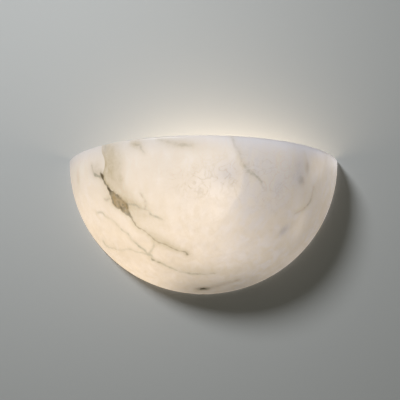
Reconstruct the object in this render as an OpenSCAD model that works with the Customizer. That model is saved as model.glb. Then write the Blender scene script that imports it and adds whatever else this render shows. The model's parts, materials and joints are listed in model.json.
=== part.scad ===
// Alabaster wall light: a quarter of a turned stone bowl, open at the top, that hides a steel
// pan, a side-entry lampholder and one opal lamp. The origin is the centre of the wall fixing,
// on the wall's face. +Z is up, the wall lies behind +Y and the bowl stands out towards -Y.

/* [Stone bowl] */
// Width of the bowl along the wall
shell_w = 360; // [340:5:400]
// How far the bowl stands out from its own back edge
shell_d = 135; // [126:1:150]
// Thickness of the stone
shell_t = 8; // [6:0.5:10]
// Height of the rim above the wall fixing
rim_z = 60; // [54:1:66]
// Radius worked on the rim's edges
rim_ease = 2.5; // [1.5:0.25:3]
// Gap between the stone and the wall, which the pads fill
wall_gap = 1.5; // [1:0.25:3]
// Diameter of a wall pad
pad_d = 6; // [4:0.5:6.5]

/* [Stone hangers] */
// Width of the hanger's flat steel
hanger_h = 20; // [16:1:22]
// Thickness of the hanger's steel
hanger_t = 2; // [1.5:0.25:3]
// Length of the ear that is bonded to the stone
ear_l = 28; // [20:1:34]
// Thinnest bed of resin behind an ear
resin_min = 1; // [0.6:0.1:2]
// Length of the bed of resin
resin_l = 22; // [14:1:26]
// Distance of each hanging stud from the middle
stud_x = 95; // [92:1:102]
// Height of the hanging studs above the wall fixing
stud_z = 28; // [26:0.5:30]
// Diameter of the hanging studs, M5
stud_d = 5; // [4:0.5:6]
// How far the hanging studs stand out from the pan
stud_l = 15; // [13:0.5:20]

/* [Knurled nuts] */
// Diameter over the knurl
nut_d = 15; // [13:0.5:16]
// Length of the nut
nut_l = 8; // [6:0.5:9]
// Number of grooves round the knurl
nut_grooves = 24; // [16:1:32]

/* [Pan] */
// Width of the steel pan
pan_w = 236; // [232:1:244]
// Height of the pan
pan_h = 80; // [78:1:86]
// Depth of the pan from the wall
pan_d = 20; // [18:0.5:23]
// Thickness of the pan's sheet
pan_t = 1.2; // [0.8:0.1:1.5]
// Corner radius of the pan
pan_corner = 10; // [6:0.5:12]

/* [Wall bar] */
// Length of the wall bar
bar_l = 150; // [140:1:170]
// Width of the wall bar
bar_h = 20; // [16:1:22]
// Thickness of the wall bar
bar_t = 2; // [1.5:0.25:2.5]
// Spacing of the two wall slots
slot_pitch = 50.8; // [50.8:0.1:60]
// Width of a wall slot
slot_w = 4.5; // [4:0.25:5.5]
// Length of a wall slot from end to end
slot_l = 12; // [8:0.5:16]
// Distance of each pan screw from the middle
pan_screw_x = 58; // [50:0.5:59]
// Diameter of the pan screws, M4
pan_screw_d = 4; // [3:0.5:5]

/* [Lamp] */
// Distance of the lamp's axis from the wall
lamp_y = 62; // [60:0.5:68]
// Place of the lamp's contact to the right of the middle
tip_x = 60; // [56:1:60]
// Length of the lamp from its contact to the end of its globe
lamp_l = 105; // [98:1:112]
// Radius of the lamp's globe
globe_r = 30; // [27:0.5:31]
// Length of the lamp's screw cap
cap_l = 27; // [26:0.5:28]
// Radius over the screw cap's thread
cap_r = 13; // [12.8:0.05:13.1]
// Pitch of the screw cap's thread
cap_pitch = 3.629; // [3.4:0.001:3.9]

/* [Lampholder] */
// Length of the lampholder from its seat to its mouth
holder_l = 50; // [48:0.5:54]
// Radius of the lampholder
holder_r = 20; // [19:0.25:21]
// Wall of the lampholder
holder_wall = 3; // [2.5:0.25:4]
// Wall of the hollow nipple
nipple_wall = 1.5; // [1:0.1:2.2]
// Thickness of the bracket's sheet
bracket_t = 1.5; // [1:0.25:2.5]
// Width of the bracket
bracket_h = 30; // [24:1:32]

/* [Wiring] */
// Radius of an insulated conductor
wire_r = 1; // [0.8:0.05:1.05]
// Wall of the heat-proof sleeve
sleeve_wall = 0.6; // [0.4:0.05:0.8]
// Bend radius of the sleeve on its centreline
sleeve_bend = 9; // [8:0.5:10]
// Spacing of the terminal block's poles
pole_pitch = 10; // [9:0.5:11]
// Height of the terminal block off the pan
block_d = 13; // [12:0.5:14]
// Length of the terminal block's body along the conductors
block_h = 18; // [16:0.5:20]

/* [Hidden] */
$fn = 64;
bowl_fn = 240;       // facets of the great spheres
knurl_fn = 16;       // facets of a groove in the knurl
seat = 0.2;          // gap between parts that bear on each other
run = 0.05;          // radial gap of a turning or sliding fit
clear = 0.25;        // radial gap of a bolt in its hole
eps = 0.01;          // overrun of a cutter along a slanted face
over = 1;            // overrun of any other cutter

// Stone bowl: one sphere outside and one inside, with a common centre behind the wall
shell_r = (shell_w * shell_w / 4 + shell_d * shell_d) / (2 * shell_d);
inner_r = shell_r - shell_t;
back_y = -wall_gap;
centre_set = shell_r - shell_d;              // from the back edge's plane to the centre
centre_y = back_y + centre_set;
back_inner_r = sqrt(inner_r * inner_r - centre_set * centre_set);
pad_ring_r = (shell_w / 2 + back_inner_r) / 2;
pad_angles = [225, 270, 315];
ease_set = 0.15;                             // keeps the rounded edge off a tangent

// Pan, from its front face back to the wall
pan_face = -pan_d;
pan_inside = -pan_d + pan_t;

// Hangers: the ear is a chord of a circle that stays clear of the stone at its lower edge
arm_back = pan_face - seat;
arm_mid = arm_back - hanger_t / 2;
arm_front = arm_back - hanger_t;
stud_drop = rim_z - stud_z;
low_drop = stud_drop + hanger_h / 2;
low_r = sqrt(inner_r * inner_r - low_drop * low_drop);
ear_r = low_r - resin_min - hanger_t / 2;
fold_a = asin((centre_y - arm_mid) / ear_r);
half_a = asin(ear_l / 2 / ear_r);
fold = [ear_r * cos(fold_a), centre_y - ear_r * sin(fold_a)];
ear_end = [ear_r * cos(fold_a + 2 * half_a), centre_y - ear_r * sin(fold_a + 2 * half_a)];
ear_a = fold_a + half_a;
ear_off = ear_r * cos(half_a) + hanger_t / 2;
arm_lap = 4.5;                               // steel on the inner side of the stud's hole
arm_in = stud_x - stud_d / 2 - arm_lap;
resin_inset = 2;                             // from the ear's edges to the bed's
resin_h = hanger_h - 2 * resin_inset;
resin_gap = 0.1;

// Nuts, studs and screws
nut_back = arm_front - seat;
nut_neck_l = nut_l * 0.3;
nut_neck_set = 0.8;                          // how far the neck lies inside the knurl
knurl_r = 0.55;
knurl_out = knurl_r * 0.3;                   // centre of a groove outside the nut
stud_flange_r = stud_d * 0.8;
stud_flange_t = 1;
screw_head_r = pan_screw_d * 0.95;
screw_head_l = screw_head_r - pan_screw_d / 2;
cap_nut_af = pan_screw_d * 1.75;
cap_nut_hex = pan_screw_d * 0.8;
cap_nut_l = pan_screw_d * 2;
cap_dome_r = cap_nut_af / 2 - 0.3;
cap_thread_l = cap_nut_l * 0.7;
cap_grip_l = cap_nut_l * 0.6;
washer_r = pan_screw_d * 1.125;
washer_t = 0.8;
cap_nut_back = pan_face - washer_t;
bar_corner = 3;

// Two conductors side by side in their sleeve, and the sleeve in the nipple
lead_gap = 0.5;                              // between the two conductors
sleeve_ease = 0.15;
lead_z = wire_r + lead_gap / 2;              // each conductor's distance from the sleeve's centre
sleeve_bore = lead_z + wire_r + sleeve_ease;
sleeve_r = sleeve_bore + sleeve_wall;
nipple_bore = sleeve_r + 0.5;
nipple_r = nipple_bore + nipple_wall;

// Lampholder: local heights run from its seat on the bracket towards its mouth
tip_h = 26;                                  // height of the lamp's contact
seat_x = tip_x + tip_h;
mouth_r = cap_r + 1.2;
liner_r = cap_r + 0.3;
liner_t = 0.4;
liner_foot_t = 0.8;
liner_top = holder_l - 4.3;
cover_h = 22;                                // joint between the rear cover and the barrel
boss_r = nipple_r + 4;
boss_h = 5;
boss_flare = 0.6;
cover_shoulder_h = 8;
cover_side_h = 12;
cover_shoulder_set = 3;                      // how far the shoulder lies inside the side
cover_floor_h = 7.2;
cover_inside_h = 9.5;
cover_inside_set = 2.5;
bead_l = 4;                                  // bead at each end of the barrel
bead_set = 0.8;                              // how far the barrel's middle lies inside its beads
mouth_ease = 1;
mouth_lip = 3;
base_top = 21.5;
base_h = 7.5;
base_r = holder_r - holder_wall - 0.2;
base_pocket = base_h * 0.5;
term_z = 9;
term_s = 6;
term_low = base_top - base_h - 4;
term_slot = 2.6;                             // side of a terminal's square wire slot
term_slot_set = 0.9;
term_slot_l = term_s * 0.7;
term_slot_h = term_low + term_slot_set + term_slot / 2;
term_in = term_z - term_s / 2;               // inner face of a terminal
spring_w = 5;
spring_l = 8;
spring_t = 0.6;
spring_post = 1;
spring_gap = 0.3;                            // between the pressed spring and the lamp
nipple_out = 9;
nipple_in = 7;
nipple_nut_h = 4;
nipple_nut_af = nipple_r * 2.8;
nipple_washer_t = 1;
nipple_washer_r = nipple_r + 4;
flange_l = 21;                               // bracket's flange along the pan
rivet_r = 1.6;
rivet_x = seat_x + bracket_t - flange_l / 2;
rivet_z = bracket_h * 0.3;
rivet_tail_r = rivet_r * 1.4;
rivet_tail_t = 1.2;
rivet_head_r = rivet_r * 2;
rivet_head_top_r = rivet_r * 1.3;
rivet_head_t = 1.1;
rivet_bore_r = rivet_r * 0.55;
rivet_bore_in = 1;
rivet_bore_l = 3;

// Lamp: local lengths run from its contact towards its globe
globe_u = lamp_l - globe_r;
globe_drop = globe_r * 0.55;                 // from the globe's centre back to its edge
housing_end_u = globe_u - globe_drop;
housing_end_r = sqrt(globe_r * globe_r - globe_drop * globe_drop);
globe_t = 1.2;
contact_r = 4.6;
contact_crown_r = 6.5;
contact_l = 2.4;
glass_r = 5.2;
cap_thread_start = 6;
cap_threads = 4;
thread_depth = 1;
thread_lead = 0.6;                           // plain metal ahead of the first ridge
thread_flank = 0.3;                          // a flank point's depth under the crest
cap_wall = 2;
cap_root_set = 0.6;
cap_skirt_out = 0.4;
cap_skirt_l = 0.5;
glass_set = cap_wall + 0.4;
plug_r = cap_r - 2.1;                        // the housing's plug inside the cap
plug_l = 6;
plug_wall = 1.5;
housing_t = 1.4;
neck_r = cap_r + 0.4;
neck_top_r = cap_r + 1.2;
neck_l = 4;
waist_r = housing_end_r * 0.72;
waist_u = (cap_l + housing_end_u) / 2 + 2;
brow_r = housing_end_r * 0.93;
brow_l = 5;

// Wiring
sleeve_x = seat_x + nipple_out + 2 + sleeve_bend;
sleeve_back = -pan_d + 4;
grommet_bore = sleeve_r + 0.4;
grommet_groove_r = sleeve_r + 3;
grommet_flange_r = sleeve_r + 5;
grommet_flange_t = 1.8;
grommet_ease = 0.6;
block_w = 3 * pole_pitch;
block_z = -22;
block_face = pan_inside + seat;
block_back = block_face + block_d;
block_rib = 1.2;                             // width of the notch between two poles
block_rib_deep = 3;
block_rib_low = 0.5;                         // how far a notch starts outside the block
entry_y = block_face + block_d * 0.42;
entry_s = 3.6;                               // side of a square wire entry
tube_t = 0.4;
tube_inset = 2;                              // from the block's end to the tube's
screw_hole_r = 2;
terminal_screw_r = 1.25;
terminal_head_r = 1.85;
terminal_head_t = 1.6;
terminal_set = 2;                            // depth of a screw's head in its hole
drive_w = 0.6;                               // screwdriver slot
drive_l = 4;
drive_deep = 0.8;
block_screw_x = pole_pitch / 2;
block_screw_r = 1.5;
block_head_r = 2.8;
block_head_t = 1.8;
block_drive_w = 0.8;
block_drive_l = 6;
block_screw_out = 1.5;                       // thread past the pan's face
earth_x = -45;
earth_stud_r = 2;
earth_stud_l = 9;
earth_flange_r = 3.4;
earth_flange_t = 1;
tag_r = 4;
tag_t = 0.8;
tag_l = 7.5;
tag_w = 3.6;
crimp_x = 5.2;
crimp_l = 5;
crimp_wall = 1;
crimp_out = seat + wire_r + crimp_wall;      // height of the tag's crimp above the pan
crimp_ease = 0.15;
earth_washer_r = 3.4;
earth_washer_t = 0.8;
earth_nut_af = 7;
earth_nut_h = 3.2;
lead_top = block_z + block_h / 2;
lead_in = 5;                                 // how far a conductor runs into its terminal

// Points and tubes

// One point of a Catmull-Rom curve between b and c
function curve_point(a, b, c, d, t) =
    0.5 * (2 * b + (c - a) * t + (2 * a - 5 * b + 4 * c - d) * t * t
        + (3 * b - a - 3 * c + d) * t * t * t);

// A smooth run through the points, with n steps between neighbours
function smooth_run(p, n) = [
    for (i = [0 : len(p) - 2], k = [0 : n - 1])
        curve_point(p[max(i - 1, 0)], p[i], p[i + 1], p[min(i + 2, len(p) - 1)], k / n),
    p[len(p) - 1]
];

function unit(v) = v / norm(v);
function heading(p, i) = unit(p[min(i + 1, len(p) - 1)] - p[max(i - 1, 0)]);
function square_to(v, t) = unit(v - (v * t) * t);

// Directions across the run, each carried on from the one before
function across(p, v, i = 0) =
    i == len(p) ? []
    : let (u = square_to(v, heading(p, i))) concat([u], across(p, u, i + 1));

// A quarter turn from heading a to heading b, without its first point
function quarter_turn(centre, a, b, r, n) = [
    for (k = [1 : n])
        centre + r * (a * sin(90 * k / n) - b * cos(90 * k / n))
];

// A round tube of radius r that follows the run
module swept_tube(p, r, first_side = [0, 0, 1], sides = 8) {
    u = across(p, first_side);
    rings = [
        for (i = [0 : len(p) - 1], s = [0 : sides - 1])
            let (w = cross(heading(p, i), u[i]), a = 360 * s / sides)
                p[i] + r * (cos(a) * u[i] + sin(a) * w)
    ];
    last = (len(p) - 1) * sides;
    walls = [
        for (i = [0 : len(p) - 2], s = [0 : sides - 1], half = [0, 1])
            let (a = i * sides + s, b = i * sides + (s + 1) % sides)
                half == 0 ? [a, b + sides, b] : [a, a + sides, b + sides]
    ];
    ends = [
        [for (s = [0 : sides - 1]) s],
        [for (s = [sides - 1 : -1 : 0]) last + s]
    ];
    polyhedron(points = rings, faces = concat(walls, ends), convexity = 10);
}

// Shared shapes

// A plate in X and Y with round corners, t thick along Z
module round_plate(w, h, r, t) {
    linear_extrude(t) union() {
        square([w - 2 * r, h], center = true);
        square([w, h - 2 * r], center = true);
        for (x = [-1, 1], y = [-1, 1])
            translate([x * (w / 2 - r), y * (h / 2 - r)]) circle(r);
    }
}

// A slot in X and Y, l long and w wide, t deep along Z
module slot_shape(l, w, t) {
    linear_extrude(t) union() {
        square([l - w, w], center = true);
        for (x = [-1, 1]) translate([x * (l - w) / 2, 0]) circle(w / 2);
    }
}

// Turns a shape drawn along Z so that its Z runs into the room, towards -Y, from y
module into_room(y) {
    translate([0, y, 0]) rotate([90, 0, 0]) children();
}

// A cylinder along -Y that starts at y
module peg(x, y, z, r, l) {
    translate([x, y, z]) rotate([90, 0, 0]) cylinder(r = r, h = l);
}

// A straight strip of thickness t from a to b, seen in plan
module strip(a, b, t) {
    d = b - a;
    translate(a) rotate(atan2(d[1], d[0])) translate([0, -t / 2]) square([norm(d), t]);
}

// Turns a shape drawn along Z so that its Z runs along the lampholder's axis, towards -X
module on_holder(h = 0) {
    translate([seat_x - h, -lamp_y, 0]) rotate([0, -90, 0]) children();
}

// A ring or disc along Z, from z0 to z1
module ring(outer, inner, z0, z1) {
    difference() {
        translate([0, 0, z0]) cylinder(r = outer, h = z1 - z0);
        if (inner > 0)
            translate([0, 0, z0 - eps]) cylinder(r = inner, h = z1 - z0 + 2 * eps);
    }
}

// A hexagon along Z, af across its flats
module hexagon(af, h) {
    cylinder(r = af / 2 / cos(30), h = h, $fn = 6);
}

module mirrored(side) {
    if (side > 0) children();
    else mirror([1, 0, 0]) children();
}

// Stone bowl and what is bonded to it

// Cuts the bowl's sharp rim corners to a round
module rim_easing() {
    e = rim_ease;
    out = shell_r - e - ease_set;
    in = inner_r + e + ease_set;
    rotate_extrude() {
        difference() {
            translate([out, -e]) square([e + 2 * over, e + over]);
            translate([out, -e]) circle(e);
        }
        difference() {
            translate([in - e - ease_set - 2 * over, -e])
                square([e + 2 * over + ease_set, e + over]);
            translate([in, -e]) circle(e);
        }
    }
}

module alabaster_bowl() {
    color("antiquewhite") difference() {
        intersection() {
            translate([0, centre_y, rim_z]) sphere(shell_r, $fn = bowl_fn);
            translate([-shell_w, back_y - 2 * shell_d, rim_z - shell_w])
                cube([2 * shell_w, 2 * shell_d, shell_w]);
        }
        translate([0, centre_y, rim_z]) sphere(inner_r, $fn = bowl_fn);
        translate([0, centre_y, rim_z]) rim_easing($fn = bowl_fn);
    }
}

module hanger(side) {
    color("silver") mirrored(side) difference() {
        translate([0, 0, stud_z - hanger_h / 2]) linear_extrude(hanger_h) union() {
            strip([arm_in, arm_mid], fold, hanger_t);
            strip(fold, ear_end, hanger_t);
            translate(fold) circle(hanger_t / 2);
            translate(ear_end) circle(hanger_t / 2);
        }
        peg(stud_x, arm_back + over, stud_z, stud_d / 2 + clear, hanger_t + 2 * over);
    }
}

module resin_bed(side) {
    color("ivory") mirrored(side) intersection() {
        translate([0, centre_y, rim_z]) sphere(inner_r - resin_gap, $fn = 2 * bowl_fn);
        translate([0, centre_y, stud_z]) rotate([0, 0, -ear_a])
            translate([ear_off, -resin_l / 2, -resin_h / 2])
                cube([2 * shell_t, resin_l, resin_h]);
    }
}

module wall_pads() {
    color("whitesmoke") for (a = pad_angles)
        peg(pad_ring_r * cos(a), 0, rim_z + pad_ring_r * sin(a), pad_d / 2, wall_gap);
}

module knurled_nut(side) {
    color("goldenrod") mirrored(side) translate([stud_x, nut_back, stud_z]) rotate([90, 0, 0])
        difference() {
            union() {
                cylinder(r = nut_d / 2 - nut_neck_set, h = nut_l);
                translate([0, 0, nut_neck_l]) cylinder(r = nut_d / 2, h = nut_l - nut_neck_l);
            }
            translate([0, 0, -over]) cylinder(r = stud_d / 2 + run, h = nut_l + 2 * over);
            for (i = [0 : nut_grooves - 1])
                rotate(360 * i / nut_grooves) translate([nut_d / 2 + knurl_out, 0, -over])
                    cylinder(r = knurl_r, h = nut_l + 2 * over, $fn = knurl_fn);
        }
}

// Wall bar, pan and their fasteners

module wall_bar() {
    color("gainsboro") difference() {
        into_room(0) round_plate(bar_l, bar_h, bar_corner, bar_t);
        for (x = [-1, 1]) {
            translate([x * slot_pitch / 2, over, 0]) rotate([90, 0, 0])
                slot_shape(slot_l, slot_w, bar_t + 2 * over);
            peg(x * pan_screw_x, over, 0, pan_screw_d / 2 + run, bar_t + 2 * over);
            translate([x * pan_screw_x, eps, 0]) rotate([90, 0, 0])
                cylinder(r1 = screw_head_r + run + eps, r2 = pan_screw_d / 2 + run,
                    h = screw_head_l + eps);
        }
    }
}

module pan_screws() {
    color("silver") for (x = [-1, 1]) union() {
        translate([x * pan_screw_x, 0, 0]) rotate([90, 0, 0])
            cylinder(r1 = screw_head_r, r2 = pan_screw_d / 2, h = screw_head_l);
        peg(x * pan_screw_x, 0, 0, pan_screw_d / 2, pan_d + washer_t + cap_grip_l);
    }
}

module pan_washers() {
    color("silver") for (x = [-1, 1])
        translate([x * pan_screw_x, pan_face, 0]) rotate([90, 0, 0])
            ring(washer_r, pan_screw_d / 2 + clear, 0, washer_t);
}

module cap_nuts() {
    color("silver") for (x = [-1, 1])
        translate([x * pan_screw_x, cap_nut_back, 0]) rotate([90, 0, 0]) difference() {
            union() {
                hexagon(cap_nut_af, cap_nut_hex);
                cylinder(r = cap_dome_r, h = cap_nut_l - cap_nut_af / 2);
                translate([0, 0, cap_nut_l - cap_nut_af / 2]) sphere(cap_dome_r);
            }
            translate([0, 0, -over])
                cylinder(r = pan_screw_d / 2 + run, h = cap_thread_l + over);
        }
}

module mounting_pan() {
    through = pan_d + over;
    color("white") difference() {
        into_room(0) round_plate(pan_w, pan_h, pan_corner, pan_d);
        into_room(over) round_plate(pan_w - 2 * pan_t, pan_h - 2 * pan_t, pan_corner - pan_t,
            pan_d - pan_t + over);
        for (x = [-1, 1]) {
            peg(x * pan_screw_x, 0, 0, pan_screw_d / 2 + clear, through);
            peg(x * stud_x, 0, stud_z, stud_d / 2 + run, through);
        }
        peg(sleeve_x, 0, 0, grommet_groove_r, through);
        for (z = [-1, 1]) peg(rivet_x, 0, z * rivet_z, rivet_r + run, through);
        peg(block_screw_x, 0, block_z, block_screw_r + run, through);
        peg(earth_x, 0, block_z, earth_stud_r + run, through);
    }
}

module hanging_studs() {
    color("silver") for (x = [-1, 1]) union() {
        peg(x * stud_x, pan_inside + stud_flange_t, stud_z, stud_flange_r, stud_flange_t);
        peg(x * stud_x, pan_inside, stud_z, stud_d / 2, pan_t + stud_l);
    }
}

// Lampholder and its bracket

module lampholder_bracket() {
    half = bracket_h / 2;
    color("white") difference() {
        union() {
            translate([seat_x + bracket_t - flange_l, pan_face - bracket_t, -half])
                cube([flange_l, bracket_t, bracket_h]);
            translate([seat_x, -lamp_y, -half])
                cube([bracket_t, lamp_y - pan_d, bracket_h]);
            on_holder(-bracket_t) cylinder(r = half, h = bracket_t);
        }
        on_holder(-bracket_t - over) cylinder(r = nipple_r + run, h = bracket_t + 2 * over);
        for (z = [-1, 1])
            peg(rivet_x, 0, z * rivet_z, rivet_r + run, pan_d + bracket_t + over);
    }
}

module bracket_rivets() {
    grip = pan_t + bracket_t;
    color("silver") for (z = [-1, 1])
        translate([rivet_x, pan_inside, z * rivet_z]) rotate([90, 0, 0]) difference() {
            union() {
                translate([0, 0, -rivet_tail_t]) cylinder(r = rivet_tail_r, h = rivet_tail_t);
                cylinder(r = rivet_r, h = grip);
                translate([0, 0, grip])
                    cylinder(r1 = rivet_head_r, r2 = rivet_head_top_r, h = rivet_head_t);
            }
            translate([0, 0, grip - rivet_bore_in]) cylinder(r = rivet_bore_r, h = rivet_bore_l);
        }
}

module holder_nipple() {
    color("gold") on_holder() ring(nipple_r, nipple_bore, -nipple_out, nipple_in);
}

module nipple_washer() {
    color("silver") on_holder()
        ring(nipple_washer_r, nipple_r + run, -bracket_t - nipple_washer_t, -bracket_t);
}

module nipple_nut() {
    far = bracket_t + nipple_washer_t + nipple_nut_h;
    color("gold") on_holder(-far) difference() {
        hexagon(nipple_nut_af, nipple_nut_h);
        translate([0, 0, -over]) cylinder(r = nipple_r + run, h = nipple_nut_h + 2 * over);
    }
}

module lampholder_cover() {
    r = holder_r;
    in = holder_r - holder_wall;
    color("white") on_holder() rotate_extrude() difference() {
        polygon([
            [0, 0], [boss_r, 0], [boss_r + boss_flare, boss_h],
            [r - cover_shoulder_set, cover_shoulder_h], [r, cover_side_h], [r, cover_h],
            [0, cover_h]
        ]);
        polygon([
            [0, -over], [nipple_r + run, -over], [nipple_r + run, cover_floor_h],
            [in - cover_inside_set, cover_inside_h], [in, cover_side_h + clear * 2],
            [in, cover_h + over], [0, cover_h + over]
        ]);
    }
}

module lampholder_barrel() {
    r = holder_r;
    in = holder_r - holder_wall;
    foot = cover_h + seat;
    waist = r - bead_set;
    color("white") on_holder() rotate_extrude() polygon([
        [in, foot], [r, foot], [r, cover_h + bead_l - mouth_ease], [waist, cover_h + bead_l],
        [waist, holder_l - bead_l - mouth_ease], [r, holder_l - bead_l],
        [r, holder_l - mouth_ease], [r - mouth_ease, holder_l], [mouth_r, holder_l],
        [mouth_r, holder_l - mouth_lip], [in, holder_l - mouth_lip - mouth_ease]
    ]);
}

module contact_base() {
    pocket = term_s + 2 * clear;
    color("ivory") on_holder() difference() {
        ring(base_r, 0, base_top - base_h, base_top);
        for (z = [-1, 1])
            translate([z * term_z - pocket / 2, -pocket / 2, base_top - base_h - over])
                cube([pocket, pocket, base_pocket + over]);
    }
}

module holder_terminals() {
    top = base_top - base_pocket;
    color("goldenrod") on_holder() for (z = [-1, 1])
        difference() {
            translate([z * term_z - term_s / 2, -term_s / 2, term_low])
                cube([term_s, term_s, top - term_low]);
            translate([z * (term_in - over + term_slot_l / 2) - term_slot_l / 2,
                -term_slot / 2, term_slot_h - term_slot / 2])
                cube([term_slot_l, term_slot, term_slot]);
        }
}

// A strip bent to a Z: its foot on the base, a post, and the leaf that meets the lamp
module centre_contact() {
    leaf = tip_h - spring_gap;
    color("goldenrod") on_holder() union() {
        translate([-spring_l, -spring_w / 2, base_top]) cube([spring_l, spring_w, spring_t]);
        translate([-spring_post, -spring_w / 2, base_top])
            cube([spring_post, spring_w, leaf - base_top]);
        translate([-spring_l / 2, -spring_w / 2, leaf - spring_t])
            cube([spring_l, spring_w, spring_t]);
    }
}

module screw_liner() {
    foot = base_top + seat;
    color("silver") on_holder() union() {
        ring(liner_r + liner_t, liner_r, base_top + seat / 2, liner_top);
        ring(base_r - seat / 2, liner_r, foot, foot + liner_foot_t);
    }
}

// Lamp: on_lamp's Z starts at the lamp's contact

module on_lamp() {
    on_holder(tip_h) children();
}

module lamp_contact() {
    color("lightsteelblue") on_lamp() intersection() {
        translate([0, 0, contact_crown_r]) sphere(contact_crown_r);
        cylinder(r = contact_r, h = contact_l);
    }
}

module lamp_insulator() {
    side = cap_r - glass_set;
    color("dimgray") on_lamp() rotate_extrude() polygon([
        [0, contact_l], [glass_r, contact_l], [side, cap_thread_start - over],
        [side, cap_thread_start], [0, cap_thread_start]
    ]);
}

// Profile of the thread: one ridge and one valley for each turn, past a plain skirt
module lamp_cap() {
    first = cap_thread_start + thread_lead;
    in = cap_r - cap_wall;
    valley = cap_r - thread_depth;
    skirt = first + cap_pitch * cap_threads;
    skirt_r = valley + cap_skirt_out;
    ridge_r = [valley, cap_r - thread_flank, cap_r, cap_r - thread_flank];
    steps = [0, 0.36, 0.5, 0.64];            // shares of the pitch: valley, flank, crest, flank
    ridges = [
        for (i = [0 : cap_threads - 1], k = [0 : len(ridge_r) - 1])
            [ridge_r[k], first + cap_pitch * (i + steps[k])]
    ];
    color("silver") on_lamp() rotate_extrude() polygon(concat(
        [[in, cap_thread_start], [valley - cap_root_set, cap_thread_start]],
        ridges,
        [[valley, skirt], [skirt_r, skirt + cap_skirt_l], [skirt_r, cap_l], [in, cap_l]]
    ));
}

module lamp_housing() {
    t = housing_t;
    e = housing_end_u;
    r = housing_end_r;
    plug_in = plug_r - plug_wall;
    color("white") on_lamp() rotate_extrude() polygon([
        [plug_r, cap_l - plug_l], [plug_r, cap_l + seat], [neck_r, cap_l + seat],
        [neck_top_r, cap_l + neck_l], [waist_r, waist_u], [brow_r, e - brow_l], [r, e],
        [r - t, e], [brow_r - t, e - brow_l], [waist_r - t, waist_u],
        [neck_r - t / 2, cap_l + neck_l + t / 2], [plug_in, cap_l + t / 2],
        [plug_in, cap_l - plug_l]
    ]);
}

module lamp_globe() {
    color("lightyellow") on_lamp() difference() {
        translate([0, 0, globe_u]) sphere(globe_r);
        translate([0, 0, globe_u]) sphere(globe_r - globe_t);
        cylinder(r = globe_r + over, h = housing_end_u + seat);
    }
}

// Wiring

// The run of both conductors from the pan to the lampholder, z off the sleeve's centre
function lead_bend(z) = quarter_turn(
    [sleeve_x - sleeve_bend, -lamp_y + sleeve_bend, z], [0, -1, 0], [-1, 0, 0], sleeve_bend, 8);

module sleeve_grommet() {
    f = grommet_flange_t;
    e = grommet_ease;
    groove = grommet_groove_r - run;
    color("dimgray") translate([sleeve_x, pan_inside + f, 0]) rotate([90, 0, 0])
        rotate_extrude() polygon([
            [grommet_bore, 0], [grommet_flange_r - e, 0], [grommet_flange_r, e],
            [grommet_flange_r, f], [groove, f], [groove, f + pan_t],
            [grommet_flange_r, f + pan_t], [grommet_flange_r, 2 * f + pan_t - e],
            [grommet_flange_r - e, 2 * f + pan_t], [grommet_bore, 2 * f + pan_t]
        ]);
}

module heat_sleeve() {
    turn_y = -lamp_y + sleeve_bend;
    turn_x = sleeve_x - sleeve_bend;
    color("whitesmoke") union() {
        translate([sleeve_x, sleeve_back, 0]) rotate([90, 0, 0])
            ring(sleeve_r, sleeve_bore, 0, sleeve_back - turn_y);
        translate([turn_x, turn_y, 0]) rotate([0, 0, -90])
            rotate_extrude(angle = 90) translate([sleeve_bend, 0]) difference() {
                circle(sleeve_r);
                circle(sleeve_bore);
            }
        translate([turn_x, -lamp_y, 0]) rotate([0, -90, 0])
            ring(sleeve_r, sleeve_bore, 0, turn_x - seat_x);
    }
}

// A conductor from the terminal block to its lampholder terminal
module lead(pole, side) {
    x0 = pole * pole_pitch;
    z1 = side * lead_z;
    inside = [
        [x0, entry_y, lead_top - lead_in], [x0, entry_y, lead_top],
        [x0 + 1.5, entry_y, lead_top + 3.5], [x0 + 6, entry_y, lead_top + 5 + side],
        [x0 + 16, entry_y - 1, lead_top + 5.5 + 1.6 * side],
        [(x0 + sleeve_x) / 2 + 10, entry_y - 1, lead_top + 5.5 + 1.6 * side],
        [sleeve_x - 18, entry_y + 0.5, -3.5 + z1], [sleeve_x - 8, sleeve_back + 5.5, -1 + z1],
        [sleeve_x - 2.5, sleeve_back + 4.8, z1], [sleeve_x - 0.2, sleeve_back + 1.5, z1],
        [sleeve_x, sleeve_back - 2, z1], [sleeve_x, sleeve_back - 8, z1]
    ];
    far = [
        [seat_x + 4, -lamp_y, z1], [seat_x - nipple_in - 0.5, -lamp_y, z1 + side * 0.2],
        [seat_x - nipple_in - 3, -lamp_y, side * 2.8],
        [seat_x - term_slot_h, -lamp_y, side * 4.6],
        [seat_x - term_slot_h, -lamp_y, side * (term_in + 1.2)]
    ];
    swept_tube(
        concat(smooth_run(inside, 4), [[sleeve_x, -lamp_y + sleeve_bend, z1]], lead_bend(z1),
            smooth_run(far, 3)),
        wire_r, [0, 0, 1]);
}

module line_wire() {
    color("saddlebrown") lead(1, -1);
}

module neutral_wire() {
    color("royalblue") lead(0, 1);
}

module earth_wire() {
    x0 = -pole_pitch;
    crimp_y = pan_inside + crimp_out;
    color("yellowgreen") swept_tube(smooth_run([
        [x0, entry_y, lead_top - lead_in], [x0, entry_y, lead_top],
        [x0 - 2, entry_y, lead_top + 4], [x0 - 9, entry_y - 1, lead_top + 5.5],
        [x0 - 15, entry_y - 1.5, lead_top + 3.5], [earth_x + 16, crimp_y + 1, block_z + 6],
        [earth_x + 13.5, crimp_y + 0.2, block_z + 1.5], [earth_x + 10.4, crimp_y, block_z],
        [earth_x + 6.5, crimp_y, block_z]
    ], 3), wire_r, [0, 1, 0]);
}

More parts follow.
